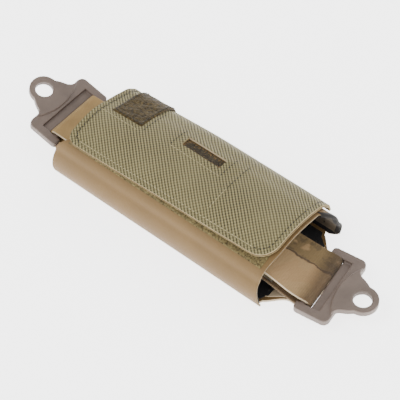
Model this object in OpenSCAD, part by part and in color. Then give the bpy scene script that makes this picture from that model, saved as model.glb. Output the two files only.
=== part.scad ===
// Helmet-rail pouch: an open-ended fabric sleeve with a hinged flap, and a webbing
// strap at each end that carries a moulded mounting plate with a screw hole.
// Millimetres. X runs along the pouch, Y across it, Z up from the back panel.

/* [Pouch] */
// Length of the sleeve along X
pouch_l = 103; // [90:0.1:120]
// Width of the sleeve at its base
pouch_w = 44; // [40:0.5:48]
// Thickness of the outer laminate
sheet_t = 0.8; // [0.6:0.1:1]
// Thickness of the lining
lining_t = 0.5; // [0.3:0.1:0.7]
// Thickness of the back panel
back_t = 1.2; // [0.8:0.1:1.6]
// How far the back panel's tongues reach past the sleeve
tongue_l = 16; // [8:0.5:20]
// Width of the tongues
tongue_w = 26.4; // [25.4:0.1:28]

/* [Sleeve section] */
// Height of the top sheet where it meets the near corner
near_h = 16.8; // [15:0.1:18]
// Height of the top sheet where the far roll starts
far_h = 18.2; // [17:0.1:20]
// Rise of the crown over a straight line across the top
crown = 2.2; // [1:0.1:3]
// Outward bow of the near wall
near_bow = 2.2; // [1:0.1:3]
// Outward bow of the far wall below the flap's seam
far_bow = 2.6; // [1:0.1:3]
// How far the top sheet's left end stays behind the ends of the walls
top_inset = 4.3; // [0:0.1:6]
// How far the far wall's right end reaches past the near wall's
far_reach = 3; // [0:0.1:4]

/* [Flap] */
// Thickness of the woven flap shell
flap_t = 1; // [0.8:0.1:1.4]
// Distance between the sleeve and the flap's lining
flap_gap = 1.3; // [1.2:0.1:1.6]
// Inset of the flap's left edge from the sleeve's end
flap_left_inset = 3.6; // [2:0.5:6]
// Inset of the flap's right edge from the sleeve's end
flap_right_inset = 1.2; // [1:0.1:6]
// Inset of the flap's near edge from the sleeve's base at the left
flap_near_left = 3.6; // [2:0.1:6]
// Inset of the flap's near edge from the sleeve's base at the right
flap_near_right = 6.2; // [3:0.1:8]
// Radius of the flap's left corners
flap_left_r = 4.5; // [2:0.1:7]
// Radius of the flap's near right corner
flap_right_r = 8; // [4:0.1:10]
// Height of the seam that the flap hinges on
hinge_h = 12; // [11:0.1:13]

/* [Flap fittings] */
// Length of the window slot
window_l = 19; // [15:0.5:24]
// Width of the window slot
window_w = 4.8; // [3:0.1:6]
// Distance of the window's centre from the sleeve's left end
window_x = 52.2; // [40:0.5:60]
// Distance of the window's centre from the middle, towards the far side
window_y = 8.8; // [4:0.1:12]
// Left edge of the marker patch, from the sleeve's left end
patch_x = 9.4; // [4:0.1:12]
// Length of the marker patch along X
patch_l = 15.4; // [12:0.1:20]
// Near edge of the marker patch, from the middle
patch_y = 3.4; // [3:0.1:10]
// Thickness of hook and loop material
pile_t = 0.9; // [0.6:0.1:1.1]

/* [Straps] */
// Width of the webbing
strap_w = 25; // [20:0.1:25.4]
// Thickness of the webbing
strap_t = 1.3; // [1:0.1:1.5]
// Length of each strap leg from the bar to its tail
strap_leg = 38.8; // [34:0.1:42]
// Clearance between the bar and the webbing that turns round it
bar_gap = 0.35; // [0.2:0.05:0.4]
// Distance of the left bar from the sleeve's left end
left_reach = 8; // [4:0.1:20]
// Distance of the right bar from the sleeve's right end
right_reach = 13.7; // [4:0.1:20]
// Height of the left bar
left_bar_h = 6; // [4.9:0.1:7]
// Height of the right bar
right_bar_h = 5; // [4.9:0.1:7]

/* [Mounting plates] */
// Radius of the round bar that the strap turns round
bar_r = 1.4; // [1.2:0.05:1.45]
// Thickness of the strap frame
frame_t = 3; // [2.5:0.1:3.5]
// Width of the strap frame
frame_w = 32.8; // [30:0.1:33]
// Width of the strap slot
slot_w = 25.8; // [25.8:0.1:27]
// Thickness of the shelf on the slot's outer side
shelf_t = 1.5; // [0.8:0.1:1.7]
// Distance of the screw hole from the bar
hole_reach = 18.3; // [17:0.1:20]
// Radius of the screw hole
hole_r = 3.6; // [2.5:0.05:3.7]
// Radius of the ear round the screw hole
ear_r = 6.2; // [5.5:0.1:6.5]
// Thickness of the ear
ear_t = 2.8; // [2.4:0.1:3.2]
// Height of the ear's step above the strap frame
ear_rise = 0.8; // [0.5:0.1:1]
// Upward tilt of the left plate
left_tilt = 14; // [0:1:20]
// Upward tilt of the right plate
right_tilt = 1; // [0:1:20]
// Turn of the right strap and plate about the vertical
right_yaw = 7; // [0:0.5:8]
// Offset of the right bar's middle towards the near side
right_drop = 1.4; // [0:0.1:1.5]

/* [Hidden] */
$fn = 64;

// The whole object's bounding box is centred on X and Y by this shift.
shift_x = -3.13;
shift_y = -1.06;

tan = [0.62, 0.52, 0.4];
beige = [0.74, 0.68, 0.58];
khaki = [0.5, 0.47, 0.33];
pile_brown = [0.32, 0.28, 0.2];
black = [0.1, 0.1, 0.11];
plate_grey = [0.5, 0.46, 0.42];

half_l = pouch_l / 2;
half_w = pouch_w / 2;
back_top = back_t + lining_t;

// Points of an arc from a to b that bows by sag to the left of the way from a to b.
function arc(a, b, sag, n) =
    let (
        half = norm(b - a) / 2,
        along = (b - a) / (2 * half),
        left = [-along[1], along[0]],
        r = (half * half + sag * sag) / (2 * abs(sag)),
        side = sign(sag),
        centre = (a + b) / 2 + left * (sag - side * r),
        sweep = asin(half / r)
    )
    [for (i = [0:n]) let (t = sweep * (2 * i / n - 1))
        centre + r * (along * sin(t) + left * side * cos(t))];

// A list of points without its last one.
function open_end(p) = [for (i = [0:len(p) - 2]) p[i]];

// Left normal of the step from a to b.
function left_normal(a, b) = let (d = b - a) [-d[1], d[0]] / norm(d);

// Offset direction at point i of the path p, long enough to keep a parallel step.
function mitre(p, i) =
    let (
        n0 = left_normal(p[max(i - 1, 0)], p[max(i, 1)]),
        n1 = left_normal(p[min(i, len(p) - 2)], p[min(i + 1, len(p) - 1)]),
        m = (n0 + n1) / norm(n0 + n1)
    )
    m / (m * n0);

// The part of path p from point i0 to i1, moved d to its left.
function moved(p, i0, i1, d) = [for (i = [i0:i1]) p[i] + mitre(p, i) * d];

// A band along path p between the offsets d0 and d1.
function band(p, i0, i1, d0, d1) =
    let (inner = moved(p, i0, i1, d0), outer = moved(p, i0, i1, d1))
    concat(outer, [for (i = [len(inner) - 1:-1:0]) inner[i]]);

// Section of the sleeve as (y, z) points, from the near base over the top to the
// far base: near wall, near corner, top, far roll, far wall.
near_base = [-half_w, 0];
near_shoulder = [-half_w + 1.4, near_h - 4.6];
near_corner = [-half_w + 6, near_h];
far_corner = [half_w - 6.5, far_h];
roll_end = [half_w, hinge_h + 0.4];
anchor_end = [half_w + 1.3, hinge_h - 3.6];
wall_n = 10;
corner_n = 6;
top_n = 16;
roll_n = 10;
far_n = 7;
section = concat(
    open_end(arc(near_base, near_shoulder, near_bow, wall_n)),
    open_end(arc(near_shoulder, near_corner, 1, corner_n)),
    open_end(arc(near_corner, far_corner, crown, top_n)),
    open_end(arc(far_corner, roll_end, 1.2, roll_n)),
    [roll_end, roll_end + [0.1, -0.4], roll_end + [0.4, -1.3]],
    arc(anchor_end, [half_w, 0], far_bow, far_n)
);
i_corner = wall_n;
i_top = wall_n + corner_n;
i_roll = i_top + top_n;
i_wall = i_roll + roll_n;
i_hinge = i_wall + 1;
i_anchor = i_wall + 2;
i_anchor_end = i_wall + 3;
i_base = i_anchor_end + far_n;

module place() translate([shift_x, shift_y, 0]) children();

module along_x(x0, x1)
    translate([x0, 0, 0]) rotate([90, 0, 90]) linear_extrude(x1 - x0) children();

module along_y(width)
    translate([0, width / 2, 0]) rotate([90, 0, 0]) linear_extrude(width) children();

// A sheet that follows the sleeve's section between two points and two offsets.
module section_sheet(i0, i1, d0, d1, x0 = -half_l, x1 = half_l)
    along_x(x0, x1) polygon(band(section, i0, i1, d0, d1));

// Back panel in plan: the sleeve's base and a waisted tongue at each end.
function tongue_side(base_w) =
    let (waist = tongue_w / 2, flare = 9, tip = half_l + tongue_l)
    concat(
        [[0, base_w / 2], [half_l, base_w / 2]],
        arc([half_l, base_w / 2 - 1.5], [half_l + flare, waist], -1.6, 8),
        arc([tip - 3, waist], [tip, waist - 3], 0.88, 6)
    );

module back_outline(base_w) {
    side = tongue_side(base_w);
    half = concat(side, [for (i = [len(side) - 1:-1:0]) [side[i][0], -side[i][1]]]);
    polygon(concat(half, [for (i = [len(half) - 1:-1:0]) [-half[i][0], half[i][1]]]));
}

inner_w = pouch_w - 2 * sheet_t;

module back_panel() color(tan) place() linear_extrude(back_t) back_outline(inner_w);

module back_lining() color(beige) place() translate([0, 0, back_t])
    linear_extrude(lining_t) back_outline(inner_w - 2 * lining_t - 1.6);

// What stands on the back panel starts above it, clear of its edges.
module above_back() intersection() {
    children();
    translate([0, 0, 50 + back_top + 0.05]) cube([200, 100, 100], center = true);
}

module near_wall() color(tan) place() section_sheet(0, i_top, -sheet_t, 0);

module near_wall_lining() color(black) place()
    above_back() section_sheet(0, i_top, -sheet_t - lining_t, -sheet_t);

module top_sheet() color(tan) place()
    section_sheet(i_top, i_roll, -sheet_t, 0, -half_l + top_inset);

module top_sheet_lining() color(black) place()
    section_sheet(i_top, i_roll, -sheet_t - lining_t, -sheet_t, -half_l + top_inset);

module far_wall() color(tan) place()
    section_sheet(i_roll, i_base, -sheet_t, 0, -half_l, half_l + far_reach);

module far_wall_lining() color(plate_grey) place()
    above_back() section_sheet(i_roll, i_base, -sheet_t - lining_t, -sheet_t,
                               -half_l, half_l + far_reach);

binding_l = 0.6;
module end_binding(x0) above_back()
    section_sheet(i_roll, i_base, -sheet_t - lining_t - 0.2, 0.2, x0, x0 + binding_l);

module left_end_binding() color(pile_brown) place() end_binding(-half_l - binding_l);
module right_end_binding() color(pile_brown) place() end_binding(half_l + far_reach);

loop_t = 0.6;
module loop_field() color(khaki) place()
    section_sheet(i_corner + 4, i_top + 5, 0, loop_t, -half_l + 4.6, half_l - 2.4);

// Flap in plan: the near edge runs slightly askew, three corners are rounded, and
// the far side reaches past the hinge seam.
flap_x0 = -half_l + flap_left_inset;
flap_x1 = half_l - flap_right_inset;
flap_far = half_w + flap_gap + 4 * flap_t;
module flap_outline() {
    y_left = -half_w + flap_near_left;
    y_right = -half_w + flap_near_right;
    edge = [flap_x1 - flap_x0, y_right - y_left];
    along = edge / norm(edge);
    left_sag = flap_left_r * (1 - cos(45));
    right_sag = flap_right_r * (1 - cos(45));
    a = [flap_x0, y_left];
    b = [flap_x1, y_right];
    polygon(concat(
        [[flap_x1, flap_far]],
        [[flap_x1, half_w - 2]],
        arc([flap_x1, y_right + flap_right_r], b - along * flap_right_r, right_sag, 12),
        arc(a + along * flap_left_r, [flap_x0, y_left + flap_left_r], left_sag, 10),
        [[flap_x0, flap_far]]
    ));
}

module flap_layer(d0, d1, i0 = i_corner + 1, i1 = i_hinge) intersection() {
    section_sheet(i0, i1, d0, d1);
    linear_extrude(60) flap_outline();
}

shell_in = flap_gap + 0.4;
shell_out = shell_in + flap_t;
window_x0 = -half_l + window_x - window_l / 2;

module flap_shell() color(khaki) place() difference() {
    flap_layer(shell_in, shell_out);
    translate([window_x0, window_y - window_w / 2, far_h - 2])
        cube([window_l, window_w, 20]);
}

module flap_lining() color(tan) place() flap_layer(flap_gap, shell_in);

module flap_hook_field() color(pile_brown) place()
    section_sheet(i_top + 1, i_top + 5, loop_t + 0.3, flap_gap,
                  flap_x0 + 7, flap_x1 - 9);

// The pile that shows through the window lies inside the shell's cut-out.
module window_pile() color(pile_brown) place() intersection() {
    section_sheet(i_top, i_roll, shell_in, shell_in + 0.5);
    translate([window_x0 + 0.05, window_y - window_w / 2 + 0.05, 0])
        cube([window_l - 0.1, window_w - 0.1, 60]);
}

module marker_patch() color(pile_brown) place() intersection() {
    section_sheet(i_top, i_wall - 1, shell_out, shell_out + pile_t);
    translate([-half_l + patch_x, patch_y, 0]) cube([patch_l, 40, 60]);
}

module flap_anchor() color(khaki) place()
    section_sheet(i_anchor, i_anchor_end, 0, shell_out, flap_x0, flap_x1);

// Strap parts are drawn about the bar, with the plate's side along +X.
wrap_in = bar_r + bar_gap;
wrap_out = wrap_in + strap_t;

module loop_profile(r) {
    circle(r);
    translate([-strap_leg, -r]) square([strap_leg, 2 * r]);
}

module strap_loop() along_y(strap_w) difference() {
    loop_profile(wrap_out);
    union() {
        circle(wrap_in);
        translate([-strap_leg - 1, -wrap_in]) square([strap_leg + 1, 2 * wrap_in]);
    }
}

pad_l = 24;
module strap_pad(z0) translate([-strap_leg + 1, -strap_w / 2 + 1, z0])
    cube([pad_l, strap_w - 2, wrap_in - 0.05]);

module at_left() place()
    translate([-half_l - left_reach, 0, left_bar_h]) mirror([1, 0, 0]) children();

module at_right() place()
    translate([half_l + right_reach, -right_drop, right_bar_h])
        rotate([0, 0, right_yaw]) children();

module left_strap() color(tan) at_left() strap_loop();
module left_hook_pad() color(pile_brown) at_left() strap_pad(-wrap_in);
module left_loop_pad() color(pile_brown) at_left() strap_pad(0.05);
module right_strap() color(tan) at_right() strap_loop();
module right_hook_pad() color(pile_brown) at_right() strap_pad(-wrap_in);
module right_loop_pad() color(pile_brown) at_right() strap_pad(0.05);

// Mounting plate in plan, counter-clockwise, with the bar along Y at the origin.
frame_in = -2.6;
frame_out = 12;
slot_out = 7;
shelf_in = 2.2;
shelf_gap = 0.3;
inner_r = 1.5;
outer_r = 2.6;
ear_sweep = 92;
ear_n = 18;
ear_neck = [13.6, 8.6];
ear_foot = [frame_out - 0.4, 12.4];

function mirrored(p) = [for (i = [len(p) - 1:-1:0]) [p[i][0], -p[i][1]]];
function without_first(p) = [for (i = [1:len(p) - 1]) p[i]];
function corner_sag(r) = r * (1 - cos(45));

// One side of the ear, from its tip round the rim and along the concave neck.
function ear_rim() = [for (i = [0:ear_n]) let (a = ear_sweep * i / ear_n)
    [hole_reach + ear_r * cos(a), ear_r * sin(a)]];
function ear_side() = concat(
    open_end(ear_rim()),
    open_end(arc(ear_rim()[ear_n], ear_neck, -0.2, 5)),
    arc(ear_neck, ear_foot, 0.7, 7)
);

// The ear's edge towards the strap slot bows out in an arc.
function step_arc() = without_first(open_end(
    arc(ear_foot, [ear_foot[0], -ear_foot[1]], -3.6, 16)));
function ear_outline() = concat(ear_side(), step_arc(), mirrored(without_first(ear_side())));

// The far half of the strap frame's outline, and the whole of it.
function frame_side() =
    let (h = frame_w / 2)
    concat(
        arc([frame_out, h - outer_r], [frame_out - outer_r, h], -corner_sag(outer_r), 8),
        arc([frame_in + inner_r, h], [frame_in, h - inner_r], -corner_sag(inner_r), 6)
    );
function frame_outline() = concat(frame_side(), mirrored(frame_side()));

module mount_plate() {
    rim = 0.5;
    hole_top = frame_t / 2 + ear_rise;
    difference() {
        union() {
            translate([0, 0, -frame_t / 2]) linear_extrude(frame_t) polygon(frame_outline());
            translate([0, 0, hole_top - ear_t]) linear_extrude(ear_t) polygon(ear_outline());
        }
        translate([bar_r, -slot_w / 2, -5]) cube([shelf_in - bar_r, slot_w, 10]);
        translate([bar_r, -slot_w / 2, shelf_t - frame_t / 2])
            cube([slot_out - bar_r, slot_w, 10]);
        translate([0, slot_w / 2, 0]) rotate([90, 0, 0])
            cylinder(h = slot_w, r = wrap_out + shelf_gap);
        translate([-10, -slot_w / 2, -5]) cube([10 + bar_r + 0.1, slot_w, 10]);
        translate([hole_reach, 0, -5]) cylinder(h = 10, r = hole_r);
        translate([hole_reach, 0, hole_top - rim])
            cylinder(h = 2 * rim, r1 = hole_r, r2 = hole_r + 2 * rim);
    }
    translate([0, slot_w / 2 + 0.5, 0]) rotate([90, 0, 0])
        cylinder(h = slot_w + 1, r = bar_r);
}

module left_mount_plate() color(plate_grey) at_left()
    rotate([0, -left_tilt, 0]) mount_plate();
module right_mount_plate() color(plate_grey) at_right()
    rotate([0, -right_tilt, 0]) mount_plate();

back_panel();
back_lining();
near_wall();
near_wall_lining();
top_sheet();
top_sheet_lining();
far_wall();
far_wall_lining();
left_end_binding();
right_end_binding();
loop_field();
flap_anchor();
flap_shell();
flap_lining();
flap_hook_field();
window_pile();
marker_patch();
left_strap();
left_hook_pad();
left_loop_pad();
right_strap();
right_hook_pad();
right_loop_pad();
left_mount_plate();
right_mount_plate();
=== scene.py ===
"""Looks of a helmet rail pouch: a fabric sleeve with a hinged flap, and at each end a
webbing loop that carries a moulded mounting plate.

Sizes are in millimetres until a mesh is laid down, and the finished pieces are in metres
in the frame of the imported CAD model.
"""

import logging
import math
from dataclasses import dataclass
from enum import Enum
from typing import Callable, Optional, Sequence

import bpy
import numpy as np
from mathutils import Matrix, Vector


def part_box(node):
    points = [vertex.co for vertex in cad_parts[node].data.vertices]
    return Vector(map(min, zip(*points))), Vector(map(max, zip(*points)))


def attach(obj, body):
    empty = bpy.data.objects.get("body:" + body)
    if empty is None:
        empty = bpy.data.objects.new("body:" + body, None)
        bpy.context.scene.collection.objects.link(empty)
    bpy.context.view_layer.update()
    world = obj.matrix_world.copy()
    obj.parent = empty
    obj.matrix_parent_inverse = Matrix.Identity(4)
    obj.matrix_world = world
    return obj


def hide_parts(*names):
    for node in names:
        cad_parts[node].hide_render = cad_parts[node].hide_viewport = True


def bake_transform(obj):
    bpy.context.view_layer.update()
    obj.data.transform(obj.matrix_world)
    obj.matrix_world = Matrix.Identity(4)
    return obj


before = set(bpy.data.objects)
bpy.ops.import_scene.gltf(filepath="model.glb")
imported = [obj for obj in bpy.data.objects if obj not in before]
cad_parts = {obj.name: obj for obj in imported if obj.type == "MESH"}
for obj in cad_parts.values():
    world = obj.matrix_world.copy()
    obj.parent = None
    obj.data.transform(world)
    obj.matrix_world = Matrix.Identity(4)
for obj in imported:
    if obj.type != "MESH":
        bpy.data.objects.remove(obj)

Array = np.ndarray
Object = bpy.types.Object
Material = bpy.types.Material
Socket = bpy.types.NodeSocket
Colour = tuple[int, int, int]
Surface = Callable[[Array, Array], Array]

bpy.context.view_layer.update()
MM = 0.001
CUT_SCALE = 100.0
LOG = logging.getLogger("rail_pouch")


class Body(Enum):
    """Moving bodies of the CAD model."""

    POUCH = "pouch"
    FLAP = "flap"
    LEFT_STRAP = "left_strap_loop"
    RIGHT_STRAP = "right_strap_loop"
    LEFT_PLATE = "left_plate"
    RIGHT_PLATE = "right_plate"


class Held(Enum):
    """How a sheet of cloth is held."""

    LAID = "laid"
    FOLDED = "folded"


# ---------------------------------------------------------------- small helpers


def deselect() -> None:
    """Leaves nothing selected."""
    bpy.ops.object.select_all(action="DESELECT")


def choose(obj: Object) -> None:
    """Makes one object the only selected and the active one."""
    deselect()
    obj.select_set(True)
    bpy.context.view_layer.objects.active = obj


def apply_all(obj: Object) -> None:
    """Applies every modifier of an object in order."""
    choose(obj)
    for modifier in list(obj.modifiers):
        bpy.ops.object.modifier_apply(modifier=modifier.name)


def shade(obj: Object, degrees: float) -> None:
    """Smooth shading, with edges sharper than the angle kept."""
    choose(obj)
    bpy.ops.object.shade_smooth_by_angle(angle=math.radians(degrees))


def edit_all(obj: Object, step: Callable[[], object]) -> None:
    """Runs one mesh operator on the whole of an object's mesh."""
    choose(obj)
    bpy.ops.object.mode_set(mode="EDIT")
    bpy.ops.mesh.select_all(action="SELECT")
    step()
    bpy.ops.object.mode_set(mode="OBJECT")


def new_object(name: str, data: bpy.types.ID) -> Object:
    """A new object for some data, linked to the scene."""
    obj = bpy.data.objects.new(name, data)
    bpy.context.scene.collection.objects.link(obj)
    return obj


def smoothstep(t: Array) -> Array:
    """A soft step from 0 to 1 as t goes from 0 to 1."""
    t = np.clip(t, 0, 1)
    return t * t * (3 - 2 * t)


def linear(colour: Sequence[float], share: float = 1.0) -> tuple[float, float, float, float]:
    """A display colour of 0 to 255, dimmed or lit by a share, as linear light."""
    def channel(c: float) -> float:
        """One channel."""
        c = min(255.0, c * share) / 255
        return c / 12.92 if c <= 0.04045 else ((c + 0.055) / 1.055) ** 2.4
    red, green, blue = map(channel, colour)
    return red, green, blue, 1.0


def arc(a: Sequence[float], b: Sequence[float], sag: float, n: int) -> Array:
    """Points of an arc from a to b.

    Args:
        a: First point.
        b: Last point.
        sag: How far the arc bows to the left of the way from a to b.
        n: Number of steps.

    Returns:
        n + 1 points, one a row.
    """
    a, b = np.array(a, float), np.array(b, float)
    half = np.linalg.norm(b - a) / 2
    along = (b - a) / (2 * half)
    left = np.array([-along[1], along[0]])
    radius = (half * half + sag * sag) / (2 * abs(sag))
    side = math.copysign(1, sag)
    centre = (a + b) / 2 + left * (sag - side * radius)
    t = math.asin(half / radius) * (2 * np.arange(n + 1) / n - 1)
    return centre + radius * (np.outer(np.sin(t), along) + side * np.outer(np.cos(t), left))


# ---------------------------------------------------------------- finishes


class Nodes:
    """Builds a procedural material's node tree."""

    def __init__(self, name: str) -> None:
        """Starts a material with a Principled shader."""
        self.material = bpy.data.materials.new(name)
        self.material.use_nodes = True
        self.tree = self.material.node_tree
        self.shader = self.tree.nodes["Principled BSDF"]

    def link(self, source: Socket, target: Socket) -> None:
        """Joins two sockets."""
        self.tree.links.new(source, target)

    def add(self, kind: str, **values: object) -> bpy.types.Node:
        """A new node with properties set."""
        node = self.tree.nodes.new(kind)
        for key, value in values.items():
            setattr(node, key, value)
        return node

    def feed(self, socket: Socket, value: object) -> None:
        """Sets a socket to a number, or joins another socket to it."""
        if isinstance(value, Socket):
            self.link(value, socket)
        else:
            socket.default_value = value

    def math(self, operation: str, a: object, b: object = 0.0) -> Socket:
        """One Math node.

        Args:
            operation: The node's operation.
            a: First number or socket.
            b: Second number or socket.

        Returns:
            The result's socket.
        """
        node = self.add("ShaderNodeMath", operation=operation)
        self.feed(node.inputs[0], a)
        self.feed(node.inputs[1], b)
        return node.outputs[0]

    def times(self, a: object, b: object) -> Socket:
        """The product of two numbers or sockets."""
        return self.math("MULTIPLY", a, b)

    def plus(self, a: object, b: object) -> Socket:
        """The sum of two numbers or sockets."""
        return self.math("ADD", a, b)

    def swing(self, vector: Socket, size: float, detail: float, reach: float) -> Socket:
        """Noise that swings about zero, over the reach in all."""
        return self.times(self.math("SUBTRACT", self.noise(vector, size, detail), 0.5), reach)

    def mix(self, share: object, a: object, b: object) -> Socket:
        """A colour between a and b."""
        node = self.add("ShaderNodeMix", data_type="RGBA")
        self.feed(node.inputs[0], share)
        self.feed(node.inputs[6], a)
        self.feed(node.inputs[7], b)
        return node.outputs[2]

    def span(self, value: object, low: float, high: float,
             to_low: float = 0.0, to_high: float = 1.0) -> Socket:
        """A clamped Map Range node."""
        node = self.add("ShaderNodeMapRange")
        for socket, number in zip(node.inputs, (value, low, high, to_low, to_high)):
            self.feed(socket, number)
        return node.outputs[0]

    def scaled(self, place: Socket, scale: float) -> Socket:
        """A vector times a number."""
        node = self.add("ShaderNodeVectorMath", operation="SCALE")
        self.link(place, node.inputs[0])
        node.inputs["Scale"].default_value = scale
        return node.outputs[0]

    def cut(self) -> Socket:
        """The place on the flat cut cloth, in millimetres, as a vector."""
        return self.scaled(self.add("ShaderNodeUVMap", uv_map="cut").outputs[0], CUT_SCALE)

    def solid(self) -> Socket:
        """The place on the object, in millimetres, as a vector."""
        return self.scaled(self.add("ShaderNodeTexCoord").outputs["Object"], 1 / MM)

    def parts(self, vector: Socket) -> tuple:
        """The three numbers of a vector."""
        node = self.add("ShaderNodeSeparateXYZ")
        self.link(vector, node.inputs[0])
        return tuple(node.outputs)

    def checks(self, u: object, v: object, long: float, wide: float) -> Socket:
        """A woven pattern of 0 to 1 that repeats every so many millimetres each way."""
        waves = [self.math("SINE", self.times(place, 2 * math.pi / pitch))
                 for place, pitch in ((u, long), (v, wide))]
        return self.span(self.times(*waves), -1, 1)

    def noise(self, vector: Socket, size: float, detail: float = 3.0,
              rough: float = 0.5) -> Socket:
        """Noise whose lumps are about size millimetres."""
        node = self.add("ShaderNodeTexNoise")
        self.link(vector, node.inputs["Vector"])
        node.inputs["Scale"].default_value = 1 / size
        node.inputs["Detail"].default_value = detail
        node.inputs["Roughness"].default_value = rough
        return node.outputs["Fac"]

    def bump(self, height: Socket, depth: float,
             below: Optional[Socket] = None) -> Socket:
        """A Bump node whose full height is depth millimetres."""
        node = self.add("ShaderNodeBump")
        node.inputs["Distance"].default_value = depth * MM
        self.link(height, node.inputs["Height"])
        if below is not None:
            self.link(below, node.inputs["Normal"])
        return node.outputs[0]

    def finish(self, colour: object, rough: object, normal: Optional[object] = None,
               sheen: float = 0.0, gloss: float = 0.3) -> Material:
        """Joins the pattern to the shader.

        Args:
            colour: Base colour, fixed or a socket.
            rough: Roughness, fixed or a socket.
            normal: Bumped normal, if any.
            sheen: Weight of the fabric sheen.
            gloss: Specular level.

        Returns:
            The material.
        """
        self.feed(self.shader.inputs["Base Color"], colour)
        self.feed(self.shader.inputs["Roughness"], rough)
        if normal is not None:
            self.link(normal, self.shader.inputs["Normal"])
        self.shader.inputs["Sheen Weight"].default_value = sheen
        self.shader.inputs["Specular IOR Level"].default_value = gloss
        return self.material


@dataclass(frozen=True)
class Laminate:
    """Coated tan cloth with a fine weave under the coat."""

    name: str
    base: Colour = (112, 87, 50)
    mottle: float = 0.03
    yarn: float = 0.55
    rough: float = 0.62

    def build(self) -> Material:
        """The finish as a material."""
        n = Nodes(self.name)
        at = n.cut()
        u, v, _ = n.parts(at)
        weave = n.checks(u, v, self.yarn, self.yarn)
        cloud = n.noise(at, 16, 4)
        fine = n.noise(at, 0.9, 3)
        dark, light = linear(self.base, 1 - 2 * self.mottle), linear(self.base, 1 + 0.6 * self.mottle)
        tone = n.mix(n.span(cloud, 0.3, 0.7), dark, light)
        tone = n.mix(n.span(fine, 0.25, 0.75, 0.0, 0.22), tone, dark)
        tone = n.mix(n.span(weave, 0.0, 0.3, 0.18, 0.0), tone, dark)
        rough = n.span(fine, 0.2, 0.8, self.rough - 0.08, self.rough + 0.1)
        first = n.bump(cloud, 0.25)
        normal = n.bump(n.plus(n.times(weave, 0.6), fine), 0.05, first)
        return n.finish(tone, rough, normal, sheen=0.08)


@dataclass(frozen=True)
class BallisticWeave:
    """Heavy khaki plain weave whose yarns line up in slanted ribs."""

    name: str
    light: Colour = (152, 142, 101)
    middle: Colour = (106, 97, 64)
    dark: Colour = (38, 33, 20)
    yarn: float = 0.79
    lean: tuple[float, float] = (0.93, 1.04)

    def build(self) -> Material:
        """The finish as a material."""
        n = Nodes(self.name)
        at = n.cut()
        u, v, _ = n.parts(at)
        wander = n.swing(at, 7, 2, 0.6)
        leant_u, leant_v = n.times(u, self.lean[0]), n.times(v, self.lean[1])
        slant = n.plus(n.plus(leant_u, leant_v), wander)
        cross = n.math("SUBTRACT", u, v)
        wave = math.pi / self.yarn
        rib = n.span(n.math("COSINE", n.times(slant, wave)), -1, 1)
        seed = n.span(n.math("COSINE", n.times(cross, wave)), -1, 1)
        ply = n.checks(u, v, self.yarn / 2, self.yarn / 2)
        round_rib = n.math("POWER", rib, 0.55)
        height = n.plus(n.plus(n.times(round_rib, 0.66), n.times(seed, 0.22)), n.times(ply, 0.12))
        cloud = n.noise(at, 22, 3)
        fuzz = n.noise(at, 0.5, 3)
        tone = n.mix(n.span(height, 0.18, 0.56), linear(self.dark), linear(self.middle))
        tone = n.mix(n.span(height, 0.56, 0.94), tone, linear(self.light))
        tone = n.mix(n.span(cloud, 0.35, 0.72, 0.0, 0.22), tone, linear(self.light))
        tone = n.mix(n.span(fuzz, 0.5, 0.85, 0.0, 0.3), tone, linear(self.dark))
        normal = n.bump(n.plus(height, n.times(fuzz, 0.2)), 0.42)
        return n.finish(tone, n.span(height, 0, 1, 0.95, 0.72), normal, sheen=0.1, gloss=0.25)


@dataclass(frozen=True)
class Pile:
    """Hook or loop tape: a dense, slightly matted fuzz."""

    name: str
    light: Colour
    dark: Colour
    lump: float = 0.7
    depth: float = 0.5

    def build(self) -> Material:
        """The finish as a material."""
        n = Nodes(self.name)
        at = n.solid()
        lumps = n.noise(at, self.lump, 4, 0.65)
        matted = n.noise(at, 4.5, 3)
        tone = n.mix(n.span(lumps, 0.35, 0.68), linear(self.dark), linear(self.light))
        tone = n.mix(n.span(matted, 0.35, 0.7, 0.0, 0.45), tone, linear(self.dark))
        normal = n.bump(lumps, self.depth)
        return n.finish(tone, n.span(lumps, 0, 1, 1.0, 0.85), normal, sheen=0.16, gloss=0.1)


@dataclass(frozen=True)
class Webbing:
    """Woven strap with close cross ribs."""

    name: str
    base: Colour = (156, 126, 78)
    rib: float = 0.9

    def pattern(self, n: Nodes, at: Socket) -> object:
        """The strap's colour before its weave is laid over it."""
        return n.mix(n.span(n.noise(at, 9, 3), 0.35, 0.7), linear(self.base), linear(self.base, 0.86))

    def build(self) -> Material:
        """The finish as a material."""
        n = Nodes(self.name)
        at = n.cut()
        u, v, _ = n.parts(at)
        weave = n.checks(u, v, self.rib, self.rib * 0.8)
        fuzz = n.noise(at, 0.5, 3)
        tone = self.pattern(n, at)
        tone = n.mix(n.span(weave, 0.0, 0.5, 0.3, 0.0), tone, linear(self.base, 0.6))
        tone = n.mix(n.span(fuzz, 0.5, 0.8, 0.0, 0.25), tone, linear(self.base, 0.7))
        normal = n.bump(n.plus(weave, n.times(fuzz, 0.3)), 0.12)
        return n.finish(tone, n.span(fuzz, 0, 1, 0.7, 0.95), normal, sheen=0.12)


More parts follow.
